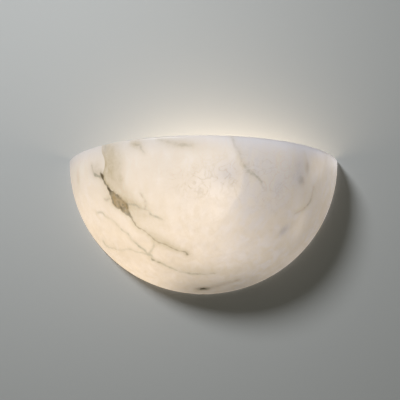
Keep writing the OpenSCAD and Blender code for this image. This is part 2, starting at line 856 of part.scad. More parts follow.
module terminal_block() {
    color("white") difference() {
        translate([-block_w / 2, block_face, block_z - block_h / 2])
            cube([block_w, block_d, block_h]);
        for (i = [-1 : 1]) {
            translate([i * pole_pitch - entry_s / 2, entry_y - entry_s / 2,
                block_z - block_h / 2 - over])
                cube([entry_s, entry_s, block_h + 2 * over]);
            for (z = [-1, 1])
                peg(i * pole_pitch, block_back + over, block_z + z * block_h / 4, screw_hole_r,
                    block_back + over - entry_y);
        }
        for (i = [-1, 1], end = [-1, 1]) translate([0, 0, block_z]) mirror([0, 0, min(end, 0)])
            translate([i * pole_pitch / 2 - block_rib / 2, block_back - block_rib_deep,
                block_h / 2 - block_rib_deep + block_rib_low])
                cube([block_rib, block_rib_deep + over, block_rib_deep]);
        peg(block_screw_x, block_back + over, block_z, block_screw_r + clear,
            block_d + 2 * over);
    }
}

module terminal_tubes() {
    outer = entry_s - 2 * run;
    inner = outer - 2 * tube_t;
    length = block_h - 2 * tube_inset;
    color("goldenrod") for (i = [-1 : 1])
        difference() {
            translate([i * pole_pitch - outer / 2, entry_y - outer / 2, block_z - length / 2])
                cube([outer, outer, length]);
            translate([i * pole_pitch - inner / 2, entry_y - inner / 2,
                block_z - length / 2 - over])
                cube([inner, inner, length + 2 * over]);
            for (z = [-1, 1])
                peg(i * pole_pitch, entry_y + outer, block_z + z * block_h / 4,
                    terminal_screw_r + run, outer);
        }
}

module terminal_screws() {
    top = block_back - terminal_set;
    low = entry_y + wire_r + seat;
    color("silver") for (i = [-1 : 1], z = [-1, 1])
        difference() {
            union() {
                peg(i * pole_pitch, top, block_z + z * block_h / 4, terminal_screw_r, top - low);
                peg(i * pole_pitch, top, block_z + z * block_h / 4, terminal_head_r,
                    terminal_head_t);
            }
            translate([i * pole_pitch - drive_l / 2, top - drive_deep,
                block_z + z * block_h / 4 - drive_w / 2])
                cube([drive_l, drive_deep + over, drive_w]);
        }
}

module block_screw() {
    color("silver") difference() {
        union() {
            peg(block_screw_x, block_back, block_z, block_screw_r,
                block_d + seat + pan_t + block_screw_out);
            peg(block_screw_x, block_back + block_head_t, block_z, block_head_r, block_head_t);
        }
        translate([block_screw_x - block_drive_l / 2, block_back + block_head_t - drive_deep,
            block_z - block_drive_w / 2])
            cube([block_drive_l, drive_deep + over, block_drive_w]);
    }
}

module earth_stud() {
    color("silver") union() {
        peg(earth_x, pan_inside + earth_stud_l, block_z, earth_stud_r, earth_stud_l + pan_t);
        peg(earth_x, pan_face, block_z, earth_flange_r, earth_flange_t);
    }
}

module earth_tag() {
    color("silver") difference() {
        union() {
            peg(earth_x, pan_inside + tag_t, block_z, tag_r, tag_t);
            translate([earth_x, pan_inside, block_z - tag_w / 2]) cube([tag_l, tag_t, tag_w]);
            translate([earth_x + crimp_x, pan_inside + crimp_out, block_z]) rotate([0, 90, 0])
                ring(wire_r + crimp_wall, wire_r + crimp_ease, 0, crimp_l);
        }
        peg(earth_x, pan_inside + tag_t + over, block_z, earth_stud_r + run, tag_t + 2 * over);
    }
}

module earth_washer() {
    top = pan_inside + tag_t + earth_washer_t;
    color("silver") difference() {
        peg(earth_x, top, block_z, earth_washer_r, earth_washer_t);
        peg(earth_x, top + over, block_z, earth_stud_r + run, earth_washer_t + 2 * over);
    }
}

module earth_nut() {
    top = pan_inside + tag_t + earth_washer_t + earth_nut_h;
    color("silver") difference() {
        translate([earth_x, top, block_z]) rotate([90, 0, 0]) hexagon(earth_nut_af, earth_nut_h);
        peg(earth_x, top + over, block_z, earth_stud_r + run, earth_nut_h + 2 * over);
    }
}

alabaster_bowl();
hanger(-1);  // hanger_left
hanger(1);  // hanger_right
resin_bed(-1);  // resin_bed_left
resin_bed(1);  // resin_bed_right
wall_pads();
knurled_nut(-1);  // knurled_nut_left
knurled_nut(1);  // knurled_nut_right
wall_bar();
pan_screws();
pan_washers();
cap_nuts();
mounting_pan();
hanging_studs();
lampholder_bracket();
bracket_rivets();
holder_nipple();
nipple_washer();
nipple_nut();
lampholder_cover();
lampholder_barrel();
contact_base();
holder_terminals();
centre_contact();
screw_liner();
lamp_contact();
lamp_insulator();
lamp_cap();
lamp_housing();
lamp_globe();
sleeve_grommet();
heat_sleeve();
line_wire();
neutral_wire();
earth_wire();
terminal_block();
terminal_tubes();
terminal_screws();
block_screw();
earth_stud();
earth_tag();
earth_washer();
earth_nut();
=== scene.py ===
"""Looks of an alabaster wall light: a veined stone bowl lit from inside, on its steel fittings."""
import json
import logging
import math
from collections.abc import Callable, Sequence
from dataclasses import dataclass
from enum import Enum

import bpy
import numpy as np
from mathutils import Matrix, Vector


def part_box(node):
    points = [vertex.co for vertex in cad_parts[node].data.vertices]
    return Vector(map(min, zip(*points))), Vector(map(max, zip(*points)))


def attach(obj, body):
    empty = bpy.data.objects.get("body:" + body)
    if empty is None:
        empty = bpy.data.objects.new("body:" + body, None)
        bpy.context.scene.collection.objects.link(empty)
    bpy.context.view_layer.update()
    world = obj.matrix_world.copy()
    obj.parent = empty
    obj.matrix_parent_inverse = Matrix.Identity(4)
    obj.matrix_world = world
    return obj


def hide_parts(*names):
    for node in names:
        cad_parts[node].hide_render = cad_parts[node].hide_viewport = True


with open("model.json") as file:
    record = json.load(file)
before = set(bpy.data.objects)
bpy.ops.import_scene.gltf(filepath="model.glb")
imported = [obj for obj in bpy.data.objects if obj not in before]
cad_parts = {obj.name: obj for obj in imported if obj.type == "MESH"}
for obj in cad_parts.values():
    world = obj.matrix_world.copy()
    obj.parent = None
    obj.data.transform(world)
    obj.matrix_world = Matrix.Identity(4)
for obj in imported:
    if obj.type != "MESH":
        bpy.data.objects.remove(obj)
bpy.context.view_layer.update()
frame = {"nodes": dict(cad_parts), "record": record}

LOG = logging.getLogger("wall_light")
MM = 0.001
TINY = 1e-9

Colour = tuple[float, float, float]
Point = tuple[float, float, float]
GLOBE_PLACE: Point = (-0.015, -0.062, 0.0)
SLOT_OF = {part["node"]: part["material_slot"] for part in frame["record"]["subparts"]}


def add_object(name: str, data: bpy.types.ID) -> bpy.types.Object:
    """A new object in the scene."""
    made = bpy.data.objects.new(name, data)
    bpy.context.scene.collection.objects.link(made)
    return made


# Shader expressions

def operator(operation: str, swapped: bool = False) -> Callable[["Field", object], "Field"]:
    """A method of Field that adds one Math node.

    Args:
        operation: The node's operation.
        swapped: Whether the other value comes first, as in 1 - mask.

    Returns:
        The method.
    """
    def combine(value: "Field", other: "Field | float") -> "Field":
        """Adds the node and returns its value."""
        first, second = (other, value) if swapped else (value, other)
        return value.graph.node("ShaderNodeMath", {"operation": operation},
                                {0: first, 1: second})

    return combine


class Field:
    """A shader socket that Python's operators work on as a number."""

    __add__ = __radd__ = operator("ADD")
    __sub__ = operator("SUBTRACT")
    __rsub__ = operator("SUBTRACT", swapped=True)
    __mul__ = __rmul__ = operator("MULTIPLY")
    __truediv__ = operator("DIVIDE")
    __rtruediv__ = operator("DIVIDE", swapped=True)
    __pow__ = operator("POWER")
    larger = operator("MAXIMUM")

    def __init__(self, graph: "Graph", socket: bpy.types.NodeSocket) -> None:
        """Wraps an output of a node that stands in the graph."""
        self.graph = graph
        self.socket = socket

    def rise(self, low: float = 0.0, high: float = 1.0) -> "Field":
        """A smooth step from 0 at low to 1 at high, which may be below low."""
        return self.graph.node(
            "ShaderNodeMapRange", {"interpolation_type": "SMOOTHSTEP"},
            {"Value": self, "From Min": low, "From Max": high})


Shade = Field | Colour


class Graph:
    """The nodes of one tree."""

    def __init__(self, tree: bpy.types.NodeTree) -> None:
        """Takes the tree that the nodes are added to."""
        self.tree = tree

    def fill(self, socket: bpy.types.NodeSocket, value: object) -> None:
        """Links a field to a socket, or sets the socket's own value."""
        if isinstance(value, Field):
            self.tree.links.new(value.socket, socket)
        elif socket.type == "RGBA":
            socket.default_value = (*value, 1.0)
        else:
            socket.default_value = value

    def node(self, kind: str, settings: dict | None = None, values: dict | None = None,
             output: int | str = 0) -> Field:
        """Adds one node.

        Args:
            kind: The node's type.
            settings: Its own settings, such as an operation.
            values: Links or numbers for its sockets, by name or place.
            output: The output that is returned.

        Returns:
            The output as a field.
        """
        made = self.tree.nodes.new(kind)
        for name, value in (settings or {}).items():
            setattr(made, name, value)
        for name, value in (values or {}).items():
            self.fill(made.inputs[name], value)
        return Field(self, made.outputs[output])

    def mix(self, factor: Field | float, first: Shade, second: Shade) -> Field:
        """A blend of two colours: first at factor 0, second at factor 1."""
        return self.node("ShaderNodeMix", {"data_type": "RGBA"},
                         {0: factor, 6: first, 7: second}, 2)

    def layers(self, base: Shade, coats: Sequence[tuple[Field, Shade]]) -> Shade:
        """Lays colours over a base, each by its own factor."""
        for factor, colour in coats:
            base = self.mix(factor, base, colour)
        return base

    def place(self) -> Field:
        """The point's place in the frame, in metres."""
        return self.node("ShaderNodeTexCoord", output="Object")

    def attribute(self, name: str) -> Field:
        """A number that the mesh carries at each vertex."""
        return self.node("ShaderNodeAttribute", {"attribute_name": name}, output="Fac")

    def stretched(self, scale: Point) -> Field:
        """The point's place, scaled along each axis."""
        return self.node("ShaderNodeMapping", {}, {"Vector": self.place(), "Scale": scale})

    def noise(self, size: float, detail: float = 3.0, at: Field | None = None,
              twist: float = 0.0) -> Field:
        """Soft noise around zero, with features of a size in metres, and warped by a twist."""
        return self.node("ShaderNodeTexNoise", {}, {
            "Vector": at or self.place(), "Scale": 1.0 / size, "Detail": detail,
            "Distortion": twist}) - 0.5

    def cells(self, size: float) -> Field:
        """Distance to the nearest point of a random set, in cells of a size in metres."""
        return self.node("ShaderNodeTexVoronoi", {},
                         {"Vector": self.place(), "Scale": 1.0 / size})

    def seen(self) -> Field:
        """1 for what shows straight, in a mirror or through glass, and 0 for its light."""
        straight, mirrored, through = (
            self.node("ShaderNodeLightPath", output=f"Is {ray} Ray")
            for ray in ("Camera", "Glossy", "Transmission"))
        return straight.larger(mirrored).larger(through)


class Surface(Graph):
    """A material with one Principled shader."""

    def __init__(self, name: str) -> None:
        """Makes the material.

        Args:
            name: The material's name.
        """
        self.material = bpy.data.materials.new(name)
        self.material.use_nodes = True
        super().__init__(self.material.node_tree)
        self.shader = self.tree.nodes["Principled BSDF"]
        self.output = self.tree.nodes["Material Output"]

    def put(self, **values: object) -> None:
        """Sets the shader's sockets; an underscore in a name stands for a space."""
        for name, value in values.items():
            self.fill(self.shader.inputs[name.replace("_", " ")], value)

    def bump(self, height: Field, depth: float) -> None:
        """Tilts the normal by a relief from 0 to 1, which is as deep as depth, in metres."""
        self.put(Normal=self.node("ShaderNodeBump", {}, {
            "Height": height, "Distance": depth, "Strength": 1.0}, "Normal"))


# Finishes

Looks = tuple[Field, Field, Field]


@dataclass(frozen=True)
class Finish:
    """A plain surface with a little unevenness, and the base of the other finishes."""

    name: str
    colour: Colour
    roughness: float
    metallic: float = 0.0
    uneven: float = 0.06
    grain: float = 0.6 * MM
    depth: float = 0.01 * MM

    def material(self) -> bpy.types.Material:
        """The finish as a material, made once."""
        known = bpy.data.materials.get(self.name)
        if known:
            return known
        graph = Surface(self.name)
        tone, rough, relief = self.paint(graph)
        graph.put(Metallic=self.metallic, Base_Color=tone, Roughness=rough + self.roughness)
        graph.bump(relief, self.depth)
        return graph.material

    def toned(self, graph: Surface, shade: Field) -> Field:
        """The finish's colour, darker and lighter by the shade around zero."""
        low = tuple(c * (1.0 - self.uneven) for c in self.colour)
        high = tuple(min(1.0, c * (1.0 + self.uneven)) for c in self.colour)
        return graph.mix(shade + 0.5, low, high)

    def paint(self, graph: Surface) -> Looks:
        """The finish's colour, how much rougher it is in places, and its relief."""
        cloudy = graph.noise(9 * MM)
        return self.toned(graph, cloudy), cloudy * 0.12, graph.noise(self.grain) + 0.5


@dataclass(frozen=True)
class Plated(Finish):
    """Plated steel: spangles that differ a little, and fine drawing marks along one way."""

    metallic: float = 1.0
    spangle: float = 2.2 * MM
    marks: Point = (60.0, 900.0, 900.0)

    def paint(self, graph: Surface) -> Looks:
        """Colour, roughness and relief."""
        spangle = graph.cells(self.spangle) - 0.5
        drawn = graph.noise(1.0, 2.0, graph.stretched(self.marks))
        tone = self.toned(graph, spangle * 0.7 + graph.noise(12 * MM))
        return tone, drawn * 0.22 + spangle * 0.1, drawn + 0.5


@dataclass(frozen=True)
class Turned(Finish):
    """Turned metal: fine tool rings round the axis, and a worn, slightly dull tone."""

    metallic: float = 1.0
    axis: str = "Y"
    pitch: float = 0.35 * MM

    def paint(self, graph: Surface) -> Looks:
        """Colour, roughness and relief."""
        rings = graph.node(
            "ShaderNodeTexWave", {"bands_direction": self.axis},
            {"Vector": graph.place(), "Scale": 0.05 / self.pitch, "Distortion": 0.4,
             "Detail": 1.0}, "Fac")
        dull = graph.noise(3 * MM, 4.0)
        return self.toned(graph, dull * 1.4), dull * 0.25 + rings * 0.08, rings


@dataclass(frozen=True)
class PowderCoat(Finish):
    """Baked powder coat: a fine orange-peel relief and an even satin."""

    def paint(self, graph: Surface) -> Looks:
        """Colour, roughness and relief."""
        peel = graph.noise(1.1 * MM, 2.0)
        graph.put(Specular_IOR_Level=0.45)
        return self.toned(graph, graph.noise(30 * MM)), peel * 0.1, peel + 0.5


@dataclass(frozen=True)
class Glaze(Finish):
    """Glazed porcelain: a warm body under a wavy clear glaze with a few pits."""

    def paint(self, graph: Surface) -> Looks:
        """Colour, roughness and relief."""
        wave = graph.noise(6 * MM, 2.0)
        pits = graph.cells(2.6 * MM).rise(0.12, 0.03)
        graph.put(Coat_Weight=0.6, Coat_Roughness=0.06)
        tone = graph.mix(pits * 0.5, self.toned(graph, wave), tuple(c * 0.6 for c in self.colour))
        return tone, pits * 0.3, wave + 0.5 - pits * 0.2


@dataclass(frozen=True)
class Cast(Finish):
    """Cast resin or silicone: cloudy, with small bubbles under the surface."""

    bubble: float = 1.6 * MM
    bubble_colour: Colour = (0.95, 0.93, 0.88)

    def paint(self, graph: Surface) -> Looks:
        """Colour, roughness and relief."""
        bubbles = graph.cells(self.bubble).rise(0.22, 0.08)
        cloudy = graph.noise(4 * MM)
        tone = graph.mix(bubbles * 0.35, self.toned(graph, cloudy * 1.5), self.bubble_colour)
        return tone, cloudy * 0.15, cloudy + 0.5 - bubbles * 0.3


@dataclass(frozen=True)
class Insulation(Finish):
    """A conductor's sheath, plain or with a second colour along its upper side."""

    uneven: float = 0.1
    stripe: Colour | None = None

    def paint(self, graph: Surface) -> Looks:
        """Colour, roughness and relief."""
        scuff = graph.noise(2 * MM, 4.0)
        tone = self.toned(graph, scuff)
        if self.stripe:
            facing = graph.node("ShaderNodeSeparateXYZ", {}, {
                0: graph.node("ShaderNodeNewGeometry", output="Normal")}, "Z")
            tone = graph.mix((facing + scuff * 0.15).rise(0.28, 0.36), tone, self.stripe)
        return tone, scuff * 0.2, scuff + 0.5


@dataclass(frozen=True)
class Opal(Finish):
    """A lit opal globe: even and warm, a little dimmer towards its collar."""

    glow: Colour = (1.0, 0.86, 0.66)
    collar_glow: Colour = (0.72, 0.5332, 0.33)
    strength: float = 0.8
    centre: Point = GLOBE_PLACE
    reach: float = 30 * MM

    def paint(self, graph: Surface) -> Looks:
        """Colour, roughness and relief."""
        along = graph.node("ShaderNodeSeparateXYZ", {}, {0: graph.place()}, "X")
        collar = ((along - self.centre[0]) / self.reach).rise(-0.2, 0.62)
        graph.put(Emission_Color=graph.mix(collar, self.glow, self.collar_glow),
                  Emission_Strength=self.strength)
        speck = graph.noise(1.5 * MM)
        return self.toned(graph, speck), speck * 0.1, speck + 0.5


FINISH_OF = {
    "zinc_steel": Plated("zinc_plate", (0.66, 0.67, 0.68), 0.34, uneven=0.1, depth=0.004 * MM),
    "resin": Cast("bedding_resin", (0.8, 0.74, 0.6), 0.28, uneven=0.08, depth=0.05 * MM),
    "silicone": Cast("silicone_pad", (0.78, 0.79, 0.78), 0.5, uneven=0.05, depth=0.03 * MM),
    "knurled_brass": Turned("knurled_brass", (0.74, 0.58, 0.32), 0.3, uneven=0.14,
                            depth=0.02 * MM),
    "brass": Turned("plain_brass", (0.76, 0.61, 0.35), 0.26, uneven=0.12, axis="X"),
    "spring_bronze": Turned("spring_bronze", (0.72, 0.5, 0.3), 0.32, uneven=0.12, axis="Z"),
    "nickel": Turned("bright_nickel", (0.72, 0.71, 0.68), 0.16, uneven=0.07, axis="X",
                     depth=0.006 * MM),
    "white_powder_coat": PowderCoat("white_powder_coat", (0.8, 0.8, 0.78), 0.48, uneven=0.02,
                                    depth=0.05 * MM),
    "porcelain": Glaze("glazed_porcelain", (0.86, 0.85, 0.8), 0.16, uneven=0.03,
                       depth=0.05 * MM),
    "black_glass": Finish("black_glass", (0.03, 0.03, 0.035), 0.12, uneven=0.2),
    "lamp_white": Finish("lamp_housing_white", (0.82, 0.82, 0.8), 0.4, uneven=0.02,
                         grain=0.4 * MM, depth=0.015 * MM),
    "opal": Opal("opal_globe", (0.86, 0.84, 0.8), 0.3, uneven=0.02),
    "grommet_rubber": Finish("grommet_rubber", (0.045, 0.045, 0.045), 0.75, uneven=0.25,
                             grain=0.5 * MM, depth=0.04 * MM),
    "glass_braid": Finish("glass_braid", (0.8, 0.78, 0.72), 0.8, uneven=0.12,
                          grain=0.5 * MM, depth=0.15 * MM),
    "line_brown": Insulation("brown_sheath", (0.2, 0.085, 0.04), 0.35),
    "neutral_blue": Insulation("blue_sheath", (0.05, 0.16, 0.45), 0.35),
    "earth_green_yellow": Insulation("green_yellow_sheath", (0.1, 0.34, 0.06), 0.35,
                                     stripe=(0.8, 0.66, 0.05)),
    "terminal_white": Finish("terminal_moulding", (0.78, 0.78, 0.74), 0.5, uneven=0.03,
                             grain=0.5 * MM, depth=0.02 * MM),
}


# The photograph's view

@dataclass(frozen=True)
class PhotoCamera:
    """The photograph's viewpoint: a little below the bowl, looking slightly up."""

    place: Point = (-0.0047, -1.1214, -0.1942)
    tilt: float = math.radians(10.1)
    focal_px: float = 852.0
    frame_px: float = 400.0
    sensor_mm: float = 36.0

    def axes(self) -> tuple[np.ndarray, np.ndarray, np.ndarray]:
        """The view's right, up and ahead directions."""
        sine, cosine = math.sin(self.tilt), math.cos(self.tilt)
        return (np.array((1.0, 0.0, 0.0)), np.array((0.0, -sine, cosine)),
                np.array((0.0, cosine, sine)))

    def seen_at(self, points: np.ndarray) -> np.ndarray:
        """Where points of the frame show in the photograph.

        Args:
            points: Rows of x, y, z in metres.

        Returns:
            Rows of column and row in pixels.
        """
        right, up, ahead = self.axes()
        offset = points - np.array(self.place)
        scale = self.focal_px / (offset @ ahead)
        middle = self.frame_px / 2
        return np.stack((middle + (offset @ right) * scale, middle - (offset @ up) * scale), 1)

    def onto_sphere(self, pixels: np.ndarray, centre: np.ndarray, radius: float) -> np.ndarray:
        """The points of a sphere that show at some pixels.

        Args:
            pixels: Rows of column and row.
            centre: The sphere's centre in metres.
            radius: Its radius in metres.

        Returns:
            Rows of x, y, z, on the side that faces the camera.
        """
        right, up, ahead = self.axes()
        middle = self.frame_px / 2
        rays = (ahead + np.outer(pixels[:, 0] - middle, right) / self.focal_px
                - np.outer(pixels[:, 1] - middle, up) / self.focal_px)
        rays /= np.linalg.norm(rays, axis=1, keepdims=True)
        start = np.array(self.place) - centre
        half = rays @ start
        inside = np.maximum(half * half - (start @ start - radius * radius), 0.0)
        points = start + rays * (-half - np.sqrt(inside))[:, None]
        return centre + points * (radius / np.linalg.norm(points, axis=1, keepdims=True))

    def make(self) -> None:
        """Adds the camera to the scene."""
        data = bpy.data.cameras.new("photo_camera")
        data.sensor_width = self.sensor_mm
        data.lens = self.sensor_mm * self.focal_px / self.frame_px
        camera = add_object("photo_camera", data)
        camera.location = self.place
        camera.rotation_euler = (math.pi / 2 + self.tilt, 0.0, 0.0)
        bpy.context.scene.camera = camera


# Marks in the stone

class Stain(Enum):
    """What a soft patch does to the stone, which names its attribute too."""

    TAN = "tan"
    SHADE = "shade"
    BROWN = "brown"
    GREY = "grey"
    LILAC = "lilac"
    PALE = "pale"
    THREADS = "threads"


@dataclass(frozen=True)
class Course:
    """A mark's course over the bowl, as it shows in the photograph.

    Each point is its column, its row and the mark's half width there, in pixels.
    """

    name: str
    strength: float
    points: tuple[tuple[float, float, float], ...]


@dataclass(frozen=True)
class Patch:
    """A soft patch: its middle in pixels, its half length and half width in millimetres."""

    name: str
    strength: float
    middle: tuple[float, float]
    reach: tuple[float, float]
    turn: float = 0.0


CRACKS = (
    Course("knot", 1, ((100.4, 173, 0.7), (101.8, 176, 1.3), (103.6, 179.6, 1))),
    Course("knot to wedge", 0.68, ((103.4, 179, 0.8), (105.3, 183.4, 0.8), (107.6, 187, 1.1))),
    Course("wedge", 0.94, (
        (107.3, 187, 0.8), (111.3, 192.6, 2.2), (114.8, 198.2, 4.9), (117.6, 201.7, 5.8),
        (122.1, 205, 5), (124.4, 208, 4.2))),
    Course("wedge, low", 0.64, (
        (124.4, 208, 4.2), (125.7, 209.8, 3.6), (128.4, 214.2, 2), (131.2, 217, 0.8))),
    Course("wedge to bend", 0.54, (
        (131, 216.4, 0.7), (134.3, 222.9, 0.6), (136.5, 226.4, 0.5), (141.9, 229.1, 0.5))),
    Course("bend to end", 0.38, (
        (141.9, 229.1, 0.5), (146.4, 232.7, 0.4), (151.3, 236.3, 0.4), (153.5, 239.4, 0.5),
        (160.6, 243, 0.6), (167.8, 245.6, 0.4), (174.9, 249.6, 0.5), (181.2, 251, 0.3))),
    Course("end", 0.46, ((181.2, 251, 0.2), (184.8, 251.9, 0.5), (187.2, 254.4, 0.9))),
    Course("joint", 0.34, ((151.2, 258.6, 0.2), (152.9, 259.9, 0.9), (155.2, 261, 0.2))),
    Course("joint, right", 0.4, ((157, 261.4, 0.2), (159, 262.4, 0.7), (161.2, 263.3, 0.2))),
    Course("lowest spot", 0.95, ((200.6, 289.7, 0.3), (203.4, 288.7, 1.4), (206, 288.9, 0.4))),
)
VEINS = (
    Course("left of knot", 0.66, (
        (91.6, 165.4, 0.2), (92.8, 171.5, 0.6), (95.6, 174.8, 0.9), (99.8, 176.7, 0.6))),
    Course("right of wedge", 0.4, (
        (127.6, 203.7, 0.5), (133.9, 204.6, 0.5), (140.1, 207.7, 0.6), (145, 209, 0.5))),
    Course("right of wedge, end", 0.44, (
        (145, 209, 0.5), (148, 210.4, 0.4), (151.7, 214.8, 0.5), (156.2, 217, 0.5),
        (162.4, 219.3, 0.2))),
    Course("upward branch", 0.46, (
        (145, 209, 0.5), (145.5, 203.2, 0.6), (143.7, 197.9, 0.5), (140, 193.4, 0.2))),
    Course("tick", 0.36, ((104.4, 198.8, 0.4), (106.8, 199.6, 0.6), (109.6, 198.6, 0.3))),
    Course("faint slant", 0.42, (
        (96.4, 213, 0.5), (101.7, 212.6, 0.4), (106.2, 216.6, 0.3), (114.2, 221.5, 0.5),
        (119.6, 227.8, 0.3), (127.6, 233.6, 0.3))),
    Course("dark slant", 0.45, (
        (127.6, 233.6, 0.3), (133, 240.7, 0.5), (139.2, 246.1, 0.7), (144.6, 250.5, 0.7),
        (148.1, 254.6, 0.5))),
    Course("lower left", 0.32, (
        (103.5, 240.7, 0.5), (105.3, 245.2, 0.3), (111.5, 247.9, 0.3), (119.6, 250.1, 0.4),
        (128.5, 249.2, 0.6), (137.4, 251.9, 0.4), (146.4, 254.1, 0.5))),
    Course("lower run", 0.38, (
        (146.4, 254.1, 0.5), (151.7, 255.4, 0.6), (152.6, 259.5, 0.8), (158.9, 261.7, 0.8),
        (164.2, 264.8, 0.6), (171.4, 267.9, 0.5))),
    Course("lower run, end", 0.4, (
        (171.4, 267.9, 0.5), (178, 271, 0.4), (189, 273.4, 0.7), (200, 274.2, 0.5),
        (215, 273.6, 0.2))),
    Course("link", 0.26, (
        (153.9, 242.5, 0.3), (153.9, 247, 0.3), (151.3, 251.4, 0.3), (149, 254, 0.3))),
    Course("near the rim", 0.4, (
        (132.4, 143.5, 0.3), (136.9, 144.8, 0.4), (140, 145.5, 0.5), (141.3, 149, 0.5),
        (144.6, 152.3, 0.2))),
    Course("smudge at the rim", 0.34, (
        (158, 139.6, 0.2), (166, 141.2, 0.6), (173.1, 143.4, 0.7), (182, 144.7, 1),
        (191, 145.2, 0.4))),
    Course("right of the middle", 0.23, (
        (231.6, 136.4, 0.5), (234.8, 145.2, 0.5), (238.4, 151.4, 0.6), (240.6, 157.7, 0.5),
        (243.8, 164.8, 0.5))),
    Course("right of the middle, end", 0.5, (
        (243.8, 164.8, 0.5), (250.4, 172.5, 1.3), (256.3, 176, 0.6), (261.6, 181.9, 0.2))),
    Course("arc at the right", 0.48, (
        (313.4, 187, 0.4), (312.5, 194, 0.9), (309.6, 202.4, 0.9), (303.7, 209.1, 0.7),
        (295, 214, 0.2))),
    Course("streak to the lowest spot", 0.1, (
        (236, 281, 0.2), (227, 283.2, 0.6), (217, 286.2, 0.8), (208, 288.4, 0.8),
        (195, 291.6, 0.6))),
)
PATCHES = {
    Stain.TAN: (
        Patch("tan zone", 0.6, (109.5, 152), (22.5, 25)),
        Patch("tan zone, lower", 0.57, (110, 176), (19, 24)),
        Patch("tan streak", 0.22, (119.8, 170), (5, 13)),
        Patch("tan spot", 0.2, (121.8, 180), (4, 5)),
        Patch("above the wedge", 0.34, (124, 192), (24, 9), -45),
    ),
    Stain.BROWN: (
        Patch("left of the knot", 0.2, (94, 171), (12, 11)),
        Patch("spot at the end", 0.18, (186.2, 253), (4, 3.5), -40),
        Patch("lowest", 0.75, (203.6, 288.8), (9, 4.5)),
        Patch("knot", 0.6, (101.6, 175.6), (3.5, 5)),
        Patch("right spot", 0.3, (301.4, 180.6), (5, 6)),
        Patch("right streak", 0.24, (307.4, 167.4), (4, 9)),
        Patch("streak by the lowest", 0.16, (219, 285), (20, 6), 14),
        Patch("small low spot", 0.22, (237.5, 280), (3.5, 2.5)),
        Patch("dark at the tan edge", 0.34, (104.8, 147), (3.4, 8.5)),
        Patch("slanted spot, brown", 0.16, (283.5, 230.6), (8, 5), 38),
    ),
    Stain.SHADE: (
        Patch("left edge", 0.34, (78, 179), (5, 10)),
        Patch("right of the wedge", 0.42, (133, 208), (20, 13), -30),
        Patch("right of the branch", 0.14, (142, 191), (10, 8)),
        Patch("left of the wedge", 0.18, (107, 198), (22, 7), -50),
        Patch("above the bend", 0.36, (160, 239.6), (20, 8), -32),
        Patch("above the end", 0.25, (176, 247.6), (17, 6), -25),
        Patch("warmth right of the cracks", 0.09, (142, 230), (34, 34)),
        Patch("lower left smudge", 0.2, (106, 245), (8, 11), 30),
        Patch("below the branch", 0.14, (160, 214), (30, 18)),
        Patch("above the lower run", 0.33, (202, 270.8), (38, 8), -3),
        Patch("by the lowest spot", 0.16, (206, 284.6), (34, 7), 6),
        Patch("right warmth, low", 0.1, (302, 225), (11, 16)),
        Patch("right warmth, high", 0.18, (305, 192), (8, 20)),
        Patch("right warmth, rim", 0.14, (316, 160), (14, 10)),
        Patch("left of the seam", 0.16, (97.6, 168.5), (8, 9)),
        Patch("cloud at the rim", 0.34, (182, 143.5), (36, 9), -8),
        Patch("by the rim vein", 0.48, (138, 143), (12, 9)),
    ),
    Stain.LILAC: (
        Patch("slanted spot", 0.3, (283.5, 230.6), (9, 6), 38),
        Patch("left of the vein", 0.4, (227, 173.5), (17, 13), 15),
        Patch("by the right spot", 0.34, (300, 170), (13, 22), -8),
    ),
    Stain.GREY: (
        Patch("dark by the right spot", 0.12, (298, 172), (16, 24), -10),
        Patch("main cloud", 0.5, (270, 172), (60, 46), -15),
        Patch("lower cloud", 0.38, (258, 207), (58, 38), 20),
        Patch("cloud behind the vein", 0.24, (252, 152), (28, 26)),
        Patch("outer cloud", 0.34, (312, 205), (22, 52), -20),
        Patch("middle shade", 0.14, (198, 187), (26, 12)),
    ),
    Stain.THREADS: (
        Patch("left of the vein", 0.8, (222, 176), (30, 20), 10),
        Patch("in the middle", 1, (196, 184), (30, 22)),
        Patch("in the cloud", 0.7, (268, 184), (46, 40), -20),
        Patch("by the wedge", 0.5, (146, 212), (20, 14), -30),
    ),
    Stain.PALE: (
        Patch("right end", 0.85, (318, 161), (18, 20)),
        Patch("warm spot at the right", 0.75, (301, 224), (13, 25), -15),
        Patch("cream by the vein", 0.34, (222, 196), (22, 34), 20),
    ),
}

# Where a course's run is read between two of its points
RUN_STEPS = np.arange(4) / 4

# The tan zone's sharp left side and the grey cloud's left side
TAN_EDGE = ((101.4, 140), (101.7, 144.5), (101.8, 152), (103.8, 157), (104.8, 162),
            (104.6, 167), (103, 173), (103.4, 179), (105.3, 183.6), (110, 188),
            (118.7, 195.5), (127.6, 203.5))
CLOUD_EDGE = ((230, 130), (236, 148), (243.8, 166), (243.8, 176), (242, 190),
              (236, 200), (228, 212), (221, 222), (216, 232), (212, 244))


def step(value: np.ndarray, start: float, reach: float) -> np.ndarray:
    """A smooth step from 0 to 1, which begins at a start and ends a reach further."""
    share = np.clip((value - start) / reach, 0.0, 1.0)
    return share * share * (3.0 - 2.0 * share)


def rounding(radius: float, gap: np.ndarray | float) -> np.ndarray:
    """How far a rounded edge stands back from its face, at a gap from the edge's end."""
    close = np.clip(radius - gap, 0.0, radius)
    return radius - np.sqrt(radius * radius - close * close)


def smooth_course(points: np.ndarray) -> np.ndarray:
    """A smooth run through some points.

    Args:
        points: Rows of numbers.

    Returns:
        The run's rows, four for each point.
    """
    padded = np.vstack((points[:1], points, points[-1:]))
    run = []
    for a, b, c, d in zip(padded, padded[1:], padded[2:], padded[3:]):
        for t in RUN_STEPS:
            run.append(0.5 * (2 * b + (c - a) * t + (2 * a - 5 * b + 4 * c - d) * t * t
                              + (3 * b - a - 3 * c + d) * t ** 3))
    return np.vstack((run, points[-1:]))


